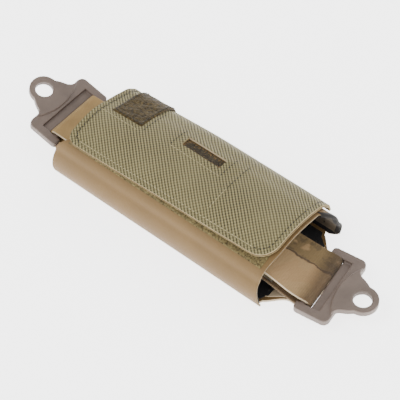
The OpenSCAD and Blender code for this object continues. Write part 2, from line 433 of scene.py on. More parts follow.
@dataclass(frozen=True)
class CamouflageWebbing(Webbing):
    """Webbing printed with brown patches and a dark wandering twig."""

    patch: Colour = (110, 90, 56)
    leaf: Colour = (146, 112, 74)
    twig: Colour = (48, 34, 20)
    fold: float = 38.8

    def pattern(self, n: Nodes, at: Socket) -> object:
        """The printed colours, with painted shade that darkens the strap towards its fold round the bar.
        """
        u, v, _ = n.parts(at)
        sway = n.swing(at, 11, 1, 9.0)
        wiggle = n.swing(at, 2.6, 2, 2.2)
        side = n.plus(n.plus(v, n.times(u, -0.09)), n.plus(sway, wiggle))
        cloud = n.noise(at, 10, 2)
        tone = n.mix(n.span(cloud, 0.48, 0.54, 0.0, 0.35), linear(self.base), linear(self.leaf))
        print_ = n.times(n.span(side, 0.2, 0.9), n.span(n.noise(at, 6, 2), 0.36, 0.42))
        tone = n.mix(print_, tone, linear(self.patch))
        streak = n.span(n.noise(at, 4.5, 3), 0.56, 0.6)
        tone = n.mix(n.times(n.times(streak, print_), 0.7), tone,
                     linear(self.patch, 0.72))
        line = n.math("ABSOLUTE", side)
        tone = n.mix(n.span(line, 0.3, 0.75, 0.9, 0.0), tone, linear(self.twig))
        # Painted shade: the strap darkens in the twig's colour towards its fold round the bar.
        fold_shade_place = n.plus(u, n.times(n.noise(at, 5, 2), 2.0))
        return n.mix(n.span(fold_shade_place, self.fold - 3.5, self.fold + 1.5, 0.0, 0.75), tone,
                     linear(self.twig))


@dataclass(frozen=True)
class MouldedPolymer:
    """Grey-brown moulded plastic with a fine grain, a painted highlight on its convex edges and painted
    shade in its hollows.
    """

    name: str
    base: Colour = (108, 94, 85)

    def build(self) -> Material:
        """The finish as a material."""
        n = Nodes(self.name)
        at = n.solid()
        grain = n.noise(at, 0.35, 3)
        cloud = n.noise(at, 9, 3)
        edge = n.add("ShaderNodeNewGeometry").outputs["Pointiness"]
        tone = n.mix(n.span(cloud, 0.35, 0.7), linear(self.base), linear(self.base, 0.9))
        # Painted highlight: convex edges are made lighter by their pointiness.
        tone = n.mix(n.span(edge, 0.52, 0.6, 0.0, 0.5), tone, linear(self.base, 1.18))
        # Painted shade: hollows are made darker by their pointiness.
        tone = n.mix(n.span(edge, 0.4, 0.48, 0.45, 0.0), tone, linear(self.base, 0.6))
        normal = n.bump(grain, 0.05)
        return n.finish(tone, n.span(cloud, 0.3, 0.7, 0.42, 0.55), normal, gloss=0.4)


@dataclass(frozen=True)
class Thread:
    """Bonded sewing thread: specks of a darker tone on a lighter one."""

    name: str
    base: Colour
    speck: float = 0.3
    detail: float = 2
    full: float = 0.65
    shade: float = 0.7
    rough: tuple[float, float] = (0.5, 0.75)
    depth: float = 0.1
    sheen: float = 0.1

    def build(self) -> Material:
        """The finish as a material."""
        n = Nodes(self.name)
        speck = n.noise(n.solid(), self.speck, self.detail)
        tone = n.mix(n.span(speck, 0.35, self.full), linear(self.base), linear(self.base, self.shade))
        return n.finish(tone, n.span(speck, 0, 1, *self.rough), n.bump(speck, self.depth),
                        sheen=self.sheen)


@dataclass(frozen=True)
class CutEdge(Thread):
    """The raw edge of a cut sheet, frayed and dull."""

    speck: float = 0.6
    detail: float = 3
    full: float = 0.7
    shade: float = 0.8
    rough: tuple[float, float] = (0.8, 0.95)
    depth: float = 0.15
    sheen: float = 0.0


class Finishes:
    """Every material of the object, built once."""

    def __init__(self) -> None:
        """Builds the materials."""
        self.laminate = Laminate("coated_tan_cloth").build()
        self.weave = BallisticWeave("khaki_ballistic_weave").build()
        self.cut_edge = CutEdge("flap_cut_edge", (158, 142, 104)).build()
        self.thin_edge = CutEdge("laminate_cut_edge", (134, 116, 86)).build()
        self.beige = Laminate("beige_lining_cloth", (178, 160, 132), 0.03, 0.7, 0.8).build()
        # Dark lining cloth, also used as painted shade on the beige back lining inside the sleeve.
        self.dark = Laminate("dark_lining_and_painted_shade", (26, 25, 27), 0.1, 0.7, 0.75).build()
        self.far = Laminate("brown_lining_cloth", (84, 74, 60), 0.08, 0.9, 0.8).build()
        self.binding = Laminate("dark_binding_tape", (34, 30, 26), 0.1, 0.6, 0.8).build()
        self.loop = Pile("khaki_loop_pile", (134, 120, 78), (62, 52, 32), 0.8, 0.5).build()
        self.brown_pile = Pile("brown_marker_pile", (96, 80, 47), (40, 32, 17), 1.1, 0.5).build()
        self.hook = Pile("hook_tape", (90, 78, 54), (38, 32, 22), 0.5, 0.4).build()
        self.window = Pile("window_velvet", (86, 77, 60), (38, 33, 26), 0.8, 0.3).build()
        self.tan_webbing = Webbing("tan_webbing").build()
        self.camouflage = CamouflageWebbing("camouflage_webbing", (148, 121, 83)).build()
        self.polymer = MouldedPolymer("moulded_plate_polymer").build()
        self.dark_thread = Thread("dark_thread", (44, 39, 27)).build()
        self.khaki_thread = Thread("khaki_thread", (172, 160, 118)).build()
        self.tan_thread = Thread("tan_thread", (120, 108, 88)).build()


# ---------------------------------------------------------------- cloth in place


@dataclass(frozen=True)
class SleeveSize:
    """The sleeve's and flap's sizes, in millimetres."""

    length: float = 103.0
    width: float = 44.0
    near_height: float = 16.8
    far_height: float = 18.2
    crown: float = 2.2
    near_bow: float = 2.2
    far_bow: float = 2.6
    hinge_height: float = 12.0
    droop: float = 2.7
    top_inset: float = 4.3


class SleeveSection:
    """The sleeve's section as a smooth line from the near base over the top to the far base."""

    def __init__(self, size: SleeveSize, samples: int = 480, passes: int = 14) -> None:
        """Draws the line and its landmarks.

        Args:
            size: The sleeve's sizes.
            samples: Points on the line.
            passes: How often the line is smoothed.
        """
        half = size.width / 2
        shoulder = (-half + 1.4, size.near_height - 4.6)
        corner = (-half + 6, size.near_height)
        roll = (half - 6.5, size.far_height)
        roll_end = (half, size.hinge_height + 0.4)
        anchor_end = (half + 1.3, size.hinge_height - 3.6)
        runs = [
            arc((-half, 0), shoulder, size.near_bow, 40),
            arc(shoulder, corner, 1.0, 20),
            arc(corner, roll, size.crown, 60),
            arc(roll, roll_end, 1.2, 30),
            np.array([roll_end, anchor_end]),
            arc(anchor_end, (half, 0), size.far_bow, 30),
        ]
        marks = [run[-1] for run in runs]
        line = np.concatenate([run[:-1] for run in runs] + [runs[-1][-1:]])
        line = self.resample(line, samples)
        for _ in range(passes):
            line[1:-1] = (line[:-2] + 2 * line[1:-1] + line[2:]) / 4
        self.line = self.resample(line, samples)
        steps = np.linalg.norm(np.diff(self.line, axis=0), axis=1)
        self.s = np.concatenate([[0], np.cumsum(steps)])
        self.length = float(self.s[-1])
        way = np.gradient(self.line, self.s, axis=0)
        way /= np.linalg.norm(way, axis=1)[:, None]
        self.out = np.stack([-way[:, 1], way[:, 0]], axis=1)
        found = [self.s[np.argmin(np.linalg.norm(self.line - m, axis=1))] for m in marks]
        self.shoulder, self.top, self.roll, self.wall, self.anchor_end, _ = map(float, found)

    @staticmethod
    def resample(line: Array, samples: int) -> Array:
        """The same line with evenly spaced points."""
        s = np.concatenate([[0], np.cumsum(np.linalg.norm(np.diff(line, axis=0), axis=1))])
        even = np.linspace(0, s[-1], samples)
        return np.stack([np.interp(even, s, line[:, k]) for k in (0, 1)], axis=1)

    def at(self, s: Array, lift: Array) -> tuple[Array, Array]:
        """y and z of points at distance s along the line and lift outside it."""
        y, z, oy, oz = (np.interp(s, self.s, column) for column in
                        (self.line[:, 0], self.line[:, 1], self.out[:, 0], self.out[:, 1]))
        return y + oy * lift, z + oz * lift

    def run(self, first: float, last: float, lift: float) -> float:
        """Length of cloth that lies between two places on the line at a lift outside it."""
        y, z = self.at(np.linspace(first, last, 300), np.full(300, lift))
        return float(np.hypot(np.diff(y), np.diff(z)).sum())

    def s_of_y(self, y: Array, lift: float) -> Array:
        """Distance along the line where the offset line passes y, on the near half."""
        first, last = self.shoulder - 3, self.roll
        s = np.linspace(first, last, 300)
        return np.interp(y, self.at(s, np.full_like(s, lift))[0], s)


class Drape:
    """Lays flat cut cloth on the sleeve: (x, s, lift) becomes a place in the frame."""

    def __init__(self, size: SleeveSize) -> None:
        """Reads where the pouch stands from the CAD back panel."""
        low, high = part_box("back_panel")
        self.centre = np.array([low.x + high.x, low.y + high.y, 0]) / 2 / MM
        self.size = size
        self.section = SleeveSection(size)

    def settle(self, p: Array) -> Array:
        """Lets the far left of the sleeve sag and makes the cloth a little uneven."""
        x, y, z = p.T
        low = np.clip(z / 17, 0, 1)
        left = smoothstep((3 - x) / 48)
        far = smoothstep((y + 6) / 20)
        sag = self.size.droop * left * far
        ripple = 0.22 * np.sin(x / 8.5 + y / 13) + 0.16 * np.sin(y / 5.0 - x / 15 + 1.3)
        z = z - low * (sag + ripple * smoothstep((20 - np.abs(y)) / 12))
        bulge = 0.25 * np.sin(x / 12 + 0.6) * np.sin(np.clip(z, 0, 16) / 16 * math.pi)
        y = y + np.where(y < -18, bulge, 0) * smoothstep((-18 - y) / 3)
        return np.stack([x, y, z], axis=1)

    def place(self, x: Array, s: Array, lift: Array) -> Array:
        """Places in metres of cut points."""
        y, z = self.section.at(s, lift)
        p = self.settle(np.stack([x, y, z], axis=1))
        return (p + self.centre) * MM

    def flat(self, p: Array) -> Array:
        """Places in metres of points given in the pouch's own millimetres."""
        return (p + self.centre) * MM


@dataclass
class Piece:
    """A finished mesh and what it stands for."""

    obj: Object
    body: Body
    slot: str

    def keep(self, *nodes: str) -> "Piece":
        """Lets the piece ride on its body and stand for its CAD nodes."""
        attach(self.obj, self.body.value)
        return self.mark(*nodes)

    def mark(self, *nodes: str) -> "Piece":
        """Hides the CAD nodes that the piece stands for, and logs the piece."""
        if nodes:
            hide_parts(*nodes)
        LOG.info("%s rides on %s: %d faces", self.obj.name, self.body.value, len(self.obj.data.polygons))
        return self

    def sewn(self, flat: tuple[float, float], held: Held, rests_on: Sequence[str] = (),
             area: Optional[float] = None) -> None:
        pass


def lay_grid(name: str, x: Array, s: Array, surface: Surface) -> Object:
    """A grid primitive laid on a surface, with the flat cut kept as a UV map.

    Args:
        name: The piece's name.
        x: Cut place along the pouch of each vertex, rows by columns, or of each column.
        s: Cut place across it, rows by columns, or of each row.
        surface: Turns cut places into places in metres.

    Returns:
        The mesh object.
    """
    if x.ndim == 1:
        x, s = np.meshgrid(x, s)
    rows, columns = x.shape
    deselect()
    bpy.ops.mesh.primitive_grid_add(x_subdivisions=columns - 1, y_subdivisions=rows - 1, size=2)
    obj = bpy.context.object
    obj.name = obj.data.name = name
    mesh = obj.data
    co = np.zeros(len(mesh.vertices) * 3)
    mesh.vertices.foreach_get("co", co)
    co = co.reshape(-1, 3)
    i = np.rint((co[:, 0] + 1) / 2 * (columns - 1)).astype(int)
    j = np.rint((co[:, 1] + 1) / 2 * (rows - 1)).astype(int)
    cut_x, cut_s = x[j, i], s[j, i]
    mesh.vertices.foreach_set("co", surface(cut_x, cut_s).ravel())
    corner = np.zeros(len(mesh.loops), int)
    mesh.loops.foreach_get("vertex_index", corner)
    for layer in list(mesh.uv_layers):
        mesh.uv_layers.remove(layer)
    uv = mesh.uv_layers.new(name="cut")
    uv.data.foreach_set("uv", (np.stack([cut_x, cut_s], axis=1)[corner] / CUT_SCALE).ravel())
    mesh.update()
    return obj


def remove_faces(obj: Object, inside: Callable[[Vector], bool]) -> None:
    """Deletes the faces whose cut place answers yes."""
    choose(obj)
    bpy.ops.object.mode_set(mode="EDIT")
    bpy.ops.mesh.select_all(action="DESELECT")
    bpy.ops.object.mode_set(mode="OBJECT")
    uv = obj.data.uv_layers["cut"].data
    for face in obj.data.polygons:
        corners = [uv[k].uv for k in face.loop_indices]
        face.select = inside(sum(corners, Vector((0, 0))) / len(corners) * CUT_SCALE)
    bpy.ops.object.mode_set(mode="EDIT")
    bpy.ops.mesh.select_mode(type="FACE")
    bpy.ops.mesh.delete(type="FACE")
    bpy.ops.object.mode_set(mode="OBJECT")


def dress(obj: Object, *materials: Material) -> None:
    """Gives an object its materials in order."""
    obj.data.materials.clear()
    for material in materials:
        obj.data.materials.append(material)


def thicken(obj: Object, materials: Sequence[Material], thickness: float,
            rim: float = 0.0, offset: float = -1.0, under: int = 0, angle: float = 40.0) -> None:
    """Dresses a sheet, gives it its thickness with a rounded edge, and smooths it.

    Args:
        obj: The sheet.
        materials: The face's, the rim's and any further material.
        thickness: Thickness in millimetres.
        rim: Radius of the edge's rounding in millimetres, or 0 for none.
        offset: -1 when the sheet's outside is the grid, 1 when its inside is.
        under: Index of the material of the face that the thickness adds.
        angle: Edges sharper than this many degrees stay sharp.
    """
    dress(obj, *materials)
    solid = obj.modifiers.new("thickness", "SOLIDIFY")
    solid.thickness = thickness * MM
    solid.offset = offset
    solid.use_even_offset = True
    solid.material_offset = under
    solid.material_offset_rim = 1
    if rim:
        edge = obj.modifiers.new("edge", "BEVEL")
        edge.width = rim * MM
        edge.segments = 2
        edge.limit_method = "ANGLE"
        edge.angle_limit = math.radians(55)
        edge.harden_normals = False
    apply_all(obj)
    shade(obj, angle)


def pad(name: str, body: Body, slot: str, nodes: Sequence[str], material: Material,
        thickness: float, x: Array, s: Array, surface: Surface, flip: bool = False) -> None:
    """A small sheet of one material that rides on a body.

    Args:
        name: The piece's name.
        body: The body that it rides on.
        slot: Its slot.
        nodes: The CAD nodes that it stands for.
        material: Its material.
        thickness: Its thickness under the grid, in millimetres.
        x: Cut place of each column.
        s: Cut place of each row.
        surface: Turns cut places into places in metres.
        flip: Whether the grid comes out with its normals inward.
    """
    obj = lay_grid(name, x, s, surface)
    if flip:
        edit_all(obj, bpy.ops.mesh.flip_normals)
    thicken(obj, (material, material), thickness, angle=60)
    Piece(obj, body, slot).keep(*nodes)


def tufts(seed: int, spread: float, x: Array, s: Array) -> Array:
    """Uneven heights for every point of a grid, in millimetres."""
    return np.random.default_rng(seed).normal(0, spread, x.size * s.size)


def from_border(x: Array, s: Array, u: Array, v: Array) -> Array:
    """How far cut points lie inside the border of a grid, in millimetres."""
    return np.minimum.reduce([u - x[0], x[-1] - u, v - s[0], s[-1] - v])


def repaint(obj: Object, material: int, inside: Callable[[float, float], bool]) -> None:
    """Gives another of its materials to the faces whose first cut place answers yes."""
    uv = obj.data.uv_layers["cut"].data
    for face in obj.data.polygons:
        if inside(*(c * CUT_SCALE for c in uv[face.loop_start].uv)):
            face.material_index = material


class Needle:
    """Sews rows of stitches: one stitch is modelled and copied along each run."""

    def __init__(self, width: float = 0.42, height: float = 0.3) -> None:
        """Models the stitch, one unit long.

        Args:
            width: Thread width in millimetres.
            height: How thick the thread lies in millimetres.
        """
        deselect()
        bpy.ops.mesh.primitive_uv_sphere_add(segments=8, ring_count=6, radius=0.5)
        ball = bpy.context.object
        co = np.array([v.co[:] for v in ball.data.vertices])
        bow = np.sqrt(np.clip(1 - (2 * co[:, 2]) ** 2, 0, 1))
        self.shape = np.stack([co[:, 2], co[:, 0] * width, co[:, 1] * height + 0.12 * bow], axis=1)
        self.faces = [tuple(f.vertices) for f in ball.data.polygons]
        bpy.data.objects.remove(ball)

    def sew(self, name: str, body: Body, slot: str, thread: Material,
            runs: Sequence[Array], surface: Callable[..., Array], gap: float = 0.28) -> None:
        """Stitches along runs of cut points, all in one piece.

        Args:
            name: The piece's name.
            body: The body that it rides on.
            slot: Its slot.
            thread: Its material.
            runs: Lists of (x, s) needle holes in millimetres.
            surface: Turns (x, s, lift) into places in metres.
            gap: Share of each step that shows no thread.
        """
        starts = np.concatenate([run[:-1] for run in runs])
        ends = np.concatenate([run[1:] for run in runs])
        middle, half = (starts + ends) / 2, (ends - starts) * (1 - gap) / 2
        a = surface(*(middle - half).T, np.zeros(len(middle)))
        b = surface(*(middle + half).T, np.zeros(len(middle)))
        c = surface(*middle.T, np.zeros(len(middle)))
        up = surface(*middle.T, np.ones(len(middle))) - c
        up /= np.linalg.norm(up, axis=1)[:, None]
        along = b - a
        side = np.cross(up, along)
        side /= np.linalg.norm(side, axis=1)[:, None]
        shape = self.shape
        points = (c[:, None] + shape[None, :, :1] * along[:, None]
                  + shape[None, :, 1:2] * side[:, None] * MM + shape[None, :, 2:] * up[:, None] * MM)
        count = len(shape)
        faces = [tuple(v + k * count for v in face) for k in range(len(starts)) for face in self.faces]
        mesh = bpy.data.meshes.new(name)
        mesh.from_pydata(points.reshape(-1, 3).tolist(), [], faces)
        obj = new_object(name, mesh)
        edit_all(obj, bpy.ops.mesh.normals_make_consistent)
        shade(obj, 60)
        dress(obj, thread)
        Piece(obj, body, slot).keep()


def row(a: Sequence[float], b: Sequence[float], pitch: float) -> Array:
    """Needle holes on a straight run from a to b."""
    a, b = np.array(a, float), np.array(b, float)
    n = max(2, int(round(np.linalg.norm(b - a) / pitch)) + 1)
    return a + np.linspace(0, 1, n)[:, None] * (b - a)


def zigzag(line: Array, pitch: float, reach: float) -> Array:
    """Needle holes that swing from side to side of a line."""
    s = np.concatenate([[0], np.cumsum(np.linalg.norm(np.diff(line, axis=0), axis=1))])
    n = max(3, int(round(s[-1] / pitch)) + 1)
    even = np.linspace(0, s[-1], n)
    p = np.stack([np.interp(even, s, line[:, k]) for k in (0, 1)], axis=1)
    way = np.gradient(p, axis=0)
    way /= np.linalg.norm(way, axis=1)[:, None]
    swing = np.where(np.arange(n) % 2 == 0, 1, -1)[:, None] * reach
    return p + np.stack([-way[:, 1], way[:, 0]], axis=1) * swing


def along(line: Array, pitch: float) -> Array:
    """Needle holes evenly spaced on a line of any shape."""
    return zigzag(line, pitch, 0.0)


# ---------------------------------------------------------------- sleeve


@dataclass
class Sleeve:
    """The open-ended sleeve: laminate outside, linings inside, panel and tongues below."""

    size: SleeveSize
    drape: Drape
    finishes: Finishes
    needle: Needle
    laminate: float = 0.8
    lining: float = 0.5
    back: float = 1.2
    tongue_length: float = 16.0
    tongue_width: float = 26.4
    far_reach: float = 4.6
    tongue_corner: float = 3.0
    skew: float = 1.5
    strip_y: float = -17.9
    strip_ends: tuple[float, float] = (4.7, 2.4)
    strip_reach: float = 10.5
    lining_start: float = 2.0
    tape_ends: tuple[float, float] = (0.3, 2.2)

    def left_limit(self, s: Array) -> Array:
        """Where the sleeve's left end is cut: the top stays behind the walls."""
        section, half = self.drape.section, self.size.length / 2
        rise = smoothstep((s - section.shoulder - 1) / 8)
        fall = smoothstep((s - section.wall) / 8)
        return -half + self.size.top_inset * rise * (1 - fall)

    @property
    def strip_start(self) -> float:
        """Where the loop strip's near edge runs, as a distance along the section."""
        return float(self.drape.section.s_of_y(np.array([self.strip_y]), 0.6)[0])

    def right_limit(self, s: Array) -> Array:
        """Where the sleeve's right end is cut: skewed on the near wall, standing out on the far one."""
        section, half = self.drape.section, self.size.length / 2
        near = self.skew * (1 - smoothstep(s / section.shoulder)) - 0.5 * smoothstep(
            (s - section.shoulder * 0.5) / 6) * (1 - smoothstep((s - section.top) / 8))
        share = np.clip((s - section.roll) / (section.length - section.roll), 0, 1)
        grown = 1 - (1 - share) ** 6
        return half + near + self.far_reach * grown * smoothstep((1 - share) * 8 + 0.35)

    def sheet(self, name: str, first: float, last: float, lift: float, inset: float = 0.0,
              columns: int = 104, step: float = 0.8) -> Object:
        """A sheet that follows the section.

        Args:
            name: The piece's name.
            first: Distance along the section where it starts.
            last: Distance along the section where it ends.
            lift: How far its outside stands off the section.
            inset: How far its two ends stay behind the sleeve's.
            columns: Faces along the pouch.
            step: Face size across it.

        Returns:
            The sheet without thickness.
        """
        rows = max(4, int((last - first) / step))
        share, s = np.meshgrid(np.linspace(0, 1, columns + 1), np.linspace(first, last, rows + 1))
        left, right = self.left_limit(s) + inset, self.right_limit(s) - inset
        x = left + (right - left) * share
        return lay_grid(name, x, s, lambda u, v: self.drape.place(u, v, np.full_like(u, lift)))

    def outer(self) -> None:
        """The tan laminate from the near base over the top to the far base."""
        section, f, length = self.drape.section, self.finishes, self.size.length
        around = section.run(0, section.length, -self.laminate / 2)
        obj = self.sheet("sleeve_laminate", 0.0, section.length, 0.0)
        # The laminate's inner face takes the dark cloth: its own dark lamination and painted shade inside
        # the sleeve.
        thicken(obj, (f.laminate, f.thin_edge, f.dark), self.laminate, 0.2, under=2)
        Piece(obj, Body.POUCH, "outer_laminate").keep("near_wall", "top_sheet", "far_wall").sewn(
            (length, around), Held.FOLDED, ["back_panel_laminate"], (length - 1) * around)

    def linings(self) -> None:
        """The dark lining of the near wall and top, and the brown one of the far wall."""
        section, f, length = self.drape.section, self.finishes, self.size.length
        for name, slot, nodes, materials, first, last, cut, mean in (
                ("sleeve_lining", "dark_lining", ("near_wall_lining", "top_sheet_lining"),
                 (f.dark, f.dark), self.lining_start, section.roll, length - 0.5, length - 3),
                ("far_wall_lining_cloth", "far_lining", ("far_wall_lining",), (f.far, f.binding),
                 section.roll, section.length - self.lining_start,
                 length + self.far_reach, length + 0.5 * self.far_reach)):
            around = section.run(first, last, -self.laminate - self.lining / 2)
            obj = self.sheet(name, first, last, -self.laminate - 0.02, 0.25)
            thicken(obj, materials, self.lining)
            Piece(obj, Body.POUCH, slot).keep(*nodes).sewn(
                (cut, around), Held.FOLDED, ["sleeve_laminate"], mean * around)

    def bindings(self) -> None:
        """Dark tape folded over the far wall's two edges."""
        section, (first, last) = self.drape.section, self.tape_ends
        start, end = section.roll + first, section.length - last
        inner = -self.laminate - self.lining - 0.06
        fold = np.array([(-1.6, inner), (-0.8, inner), (0.0, inner), (0.35, inner + 0.15),
                         (0.55, inner + 0.45), (0.55, -0.4), (0.35, -0.1), (0.0, 0.06),
                         (-0.8, 0.06), (-1.6, 0.06)])
        for name, node, side in (("left_edge_tape", "left_end_binding", -1),
                                 ("right_edge_tape", "right_end_binding", 1)):
            def wrap(u: Array, v: Array) -> Array:
                """The tape's fold round the cloth's edge."""
                s = start + (end - start) * v
                k = np.rint(u).astype(int)
                edge = self.right_limit(s) if side > 0 else -self.left_limit(s)
                return self.drape.place(side * (edge + fold[k, 0]), s, fold[k, 1])

            turn = np.arange(len(fold), dtype=float)[::side]
            obj = lay_grid(name, turn, np.linspace(0, 1, 61), wrap)
            thicken(obj, (self.finishes.binding,), 0.2, offset=1.0, angle=50)
            Piece(obj, Body.POUCH, "dark_binding").keep(node)

    def tongue_half(self, x: Array, base: float) -> Array:
        """Half width of the panel in plan at a distance along the pouch."""
        half, tip = self.size.length / 2, self.size.length / 2 + self.tongue_length
        waist, flare = self.tongue_width / 2, 9.0
        far = np.abs(x)
        neck = smoothstep((far - half) / flare) ** 0.8
        width = np.where(far <= half, base, base - 1.5 * (far > half) + (waist - base + 1.5) * neck)
        corner = self.tongue_corner
        into = np.clip(far - (tip - corner), 0, corner)
        return width - (corner - np.sqrt(np.clip(corner ** 2 - into * into, 0, corner ** 2)))

    def panel(self, name: str, base: float, shrink: float, bottom: float,
              thickness: float) -> Object:
        """One layer of the back panel with its two tongues.

        Args:
            name: The piece's name.
            base: Half width under the sleeve.
            shrink: How much narrower and shorter the tongues are.
            bottom: Height of its underside.
            thickness: Its thickness.

        Returns:
            The sheet, still without its thickness.
        """
        tip = self.size.length / 2 + self.tongue_length - shrink
        corner, full = self.tongue_corner, tip + shrink
        ends = tip - corner + corner * np.sin(np.linspace(0, math.pi / 2, 7)[1:])
        right = np.concatenate([np.linspace(0, tip - corner, 70), ends])
        x = np.concatenate([-right[:0:-1], right])
        width = self.tongue_half(np.clip(x * full / tip, -full, full), base)
        width = np.maximum(width - shrink * (np.abs(x) > self.size.length / 2), 0.8)
        gx, gy = np.meshgrid(x, np.linspace(-1, 1, 45))

        def rest(u: Array, v: Array) -> Array:
            """The panel lies flat, its tongues a touch uneven."""
            lift = 0.12 * np.sin(u / 7 + v / 9) * smoothstep((np.abs(u) - 40) / 10)
            z = bottom + thickness + np.clip(lift, -0.05, 0.12)
            return self.drape.flat(np.stack([u, v, z], axis=1))

        return lay_grid(name, gx, gy * width, rest)

    def floor(self) -> None:
        """The back panel and its beige lining, painted dark with shade inside the sleeve."""
        f, half = self.finishes, self.size.length / 2
        width = self.size.width / 2 - self.laminate
        length = self.size.length + 2 * self.tongue_length
        area = self.size.length * width * 2 + 2 * self.tongue_length * self.tongue_width * 1.08
        obj = self.panel("back_panel_laminate", width + 0.5, 0.0, 0.0, self.back)
        thicken(obj, (f.laminate, f.beige), self.back, 0.3)
        Piece(obj, Body.POUCH, "outer_laminate").keep("back_panel").sewn(
            (2 * width + 1, length), Held.LAID, [], area * 1.03)
        inner = self.panel("back_lining_cloth", width - 1.3, 0.35, self.back + 0.01, self.lining)
        thicken(inner, (f.beige, f.beige, f.dark), self.lining)
        # Painted shade: inside the sleeve the beige lining takes the dark cloth, where it lies in shade;
        # the tongues stay beige.
        repaint(inner, 2, lambda x, y: -half + 3.2 < x < half + 0.8 + 3.0 * (y > 0))
        Piece(inner, Body.POUCH, "beige_lining").keep("back_lining").sewn(
            (2 * width - 2.6, length - 0.7), Held.LAID, ["back_panel_laminate"], area * 0.95)

    def seams(self) -> None:
        """Stitch rows on the tongues, the far lining and along the base."""
        section, f, half = self.drape.section, self.finishes, self.size.length / 2
        top, inner = self.back + self.lining, -self.laminate - self.lining - 0.05
        base = section.length - 1.6
        self.needle.sew("tongue_stitches", Body.POUCH, "dark_binding", f.dark_thread,
                        [row((x, -15.5), (x, 15.5), 1.9) for x in (half + 0.2, -half + 2.2)],
                        lambda u, v, lift: self.drape.flat(np.stack([u, v, top + lift], axis=1)))
        self.needle.sew("far_lining_stitches", Body.POUCH, "dark_binding", f.dark_thread,
                        [row((x, section.roll + 3), (x, section.length - 3), 1.9)
                         for x in (half - 2.4, half - 6.0, -half + 6.4)],
                        lambda u, v, lift: self.drape.place(u, v, inner - lift))
        self.needle.sew("base_seam_stitches", Body.POUCH, "outer_laminate", f.tan_thread,
                        [row((-half + 2, base), (half - 2, base), 2.4)], self.drape.place)

    def loop_strip(self) -> None:
        """The strip of loop pile that the flap closes on."""
        half, (left, right) = self.size.length / 2, self.strip_ends
        x = np.linspace(-half + left, half - right, 161)
        s = np.linspace(self.strip_start, self.drape.section.top + self.strip_reach, 25)
        height = tufts(7, 0.05, x, s)

        def lie(u: Array, v: Array) -> Array:
            """The pile's lumpy top."""
            edge = from_border(x, s, u, v)
            return self.drape.place(u, v, 0.25 + 0.35 * smoothstep(edge / 0.7) + height * (edge > 0.05))

        pad("loop_strip", Body.POUCH, "khaki_pile", ["loop_field"], self.finishes.loop, 0.24, x, s, lie)

    def build(self) -> None:
        """Builds and dresses the sleeve."""
        self.outer()
        self.linings()
        self.bindings()
        self.floor()
        self.seams()
        self.loop_strip()


# ---------------------------------------------------------------- flap


